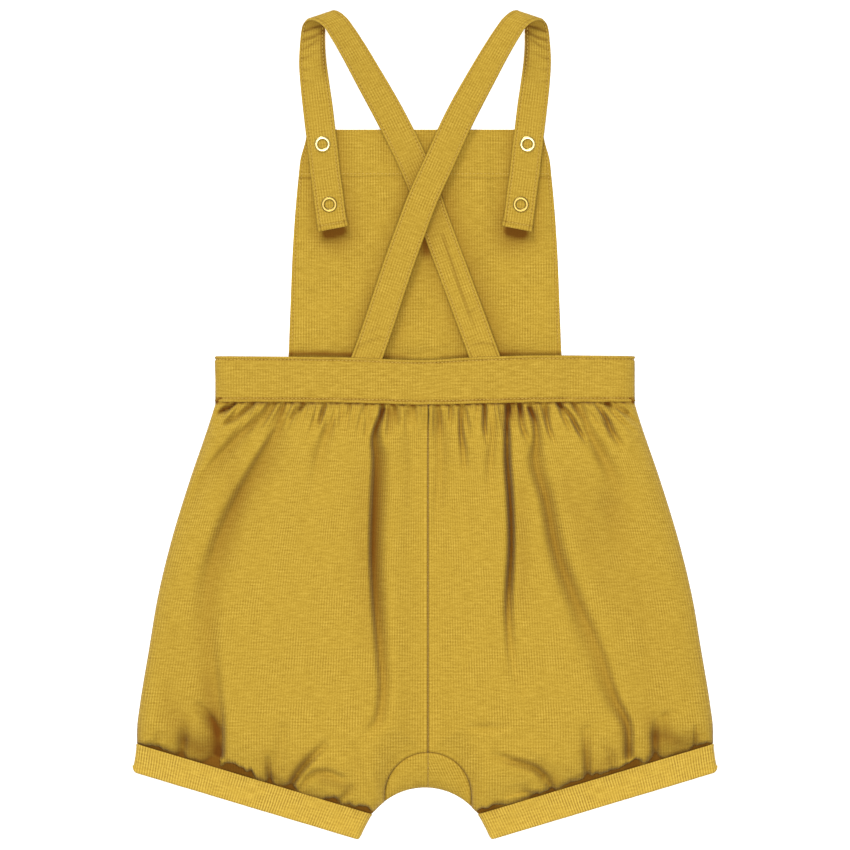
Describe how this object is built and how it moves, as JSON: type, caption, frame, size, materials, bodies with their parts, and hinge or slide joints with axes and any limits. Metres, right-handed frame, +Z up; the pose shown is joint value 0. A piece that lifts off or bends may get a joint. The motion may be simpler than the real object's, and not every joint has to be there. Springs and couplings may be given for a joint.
{
  "type": "kids dungarees",
  "caption": "Baby's short bubble-leg dungarees in mustard waffle cotton, laid flat with the back up: crossed straps with ring snaps, bib, waistband, gathered legs and turned-up cuffs.",
  "frame": {"origin": "middle of the underside of the garment as it lies", "axes": "+Y from the cuffs to the straps, +Z up from the surface it lies on, +X to the right seen from above"},
  "size_m": [0.3504, 0.4969, 0.0142],
  "materials": {
    "cloth": "matt waffle cotton, mustard",
    "doubled_cloth": "matt waffle cotton, mustard, two layers",
    "snap": "polished pale gold"
  },
  "bodies": {
    "root": {"waistband_back": "doubled_cloth", "waistband_front": "doubled_cloth", "bib": "cloth", "back_leg_left": "cloth", "front_leg_left": "cloth", "gusset_back_left": "cloth", "gusset_front_left": "cloth", "cuff_left": "doubled_cloth", "strap_left": "doubled_cloth", "back_leg_right": "cloth", "front_leg_right": "cloth", "gusset_back_right": "cloth", "gusset_front_right": "cloth", "cuff_right": "doubled_cloth", "strap_right": "doubled_cloth", "snap_ring_left_upper": "snap", "snap_ring_left_lower": "snap", "snap_socket_left_upper": "snap", "snap_socket_left_lower": "snap", "snap_stud_left": "snap", "snap_ring_right_upper": "snap", "snap_ring_right_lower": "snap", "snap_socket_right_upper": "snap", "snap_socket_right_lower": "snap", "snap_stud_right": "snap"}
  },
  "joints": []
}
